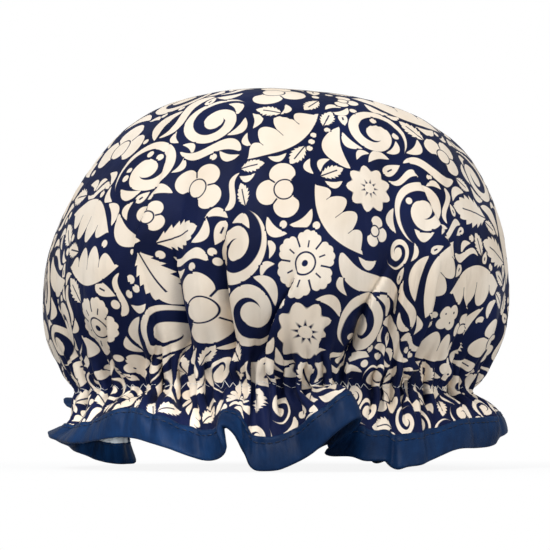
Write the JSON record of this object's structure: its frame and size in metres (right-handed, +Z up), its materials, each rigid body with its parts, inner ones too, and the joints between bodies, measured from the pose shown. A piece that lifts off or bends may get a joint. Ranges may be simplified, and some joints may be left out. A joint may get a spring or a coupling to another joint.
{
  "type": "shower cap",
  "caption": "Puffed satin shower cap with a waterproof lining, gathered by a sewn elastic above a bound, flared frill, to keep hair dry.",
  "frame": {"origin": "centre of the head opening at the level the hem rests on", "axes": "+Z up through the crown, -Y towards the wearer's front, +X to the right as seen from the front"},
  "size_m": [0.2293, 0.2416, 0.1846],
  "materials": {
    "printed_satin": "navy satin with a cream scroll-and-flower print",
    "binding_satin": "plain blue satin",
    "lining_film": "soft white waterproof film",
    "elastic_knit": "white braided elastic",
    "white_thread": "white sewing thread",
    "navy_thread": "navy sewing thread"
  },
  "bodies": {
    "root": {"outer_cover": "printed_satin", "waterproof_lining": "lining_film", "elastic_band": "elastic_knit", "elastic_join_tack": "white_thread", "elastic_zigzag_thread": "white_thread", "elastic_bobbin_thread": "white_thread", "hem_binding": "binding_satin", "binding_top_thread": "navy_thread", "binding_bobbin_thread": "navy_thread"}
  },
  "joints": []
}
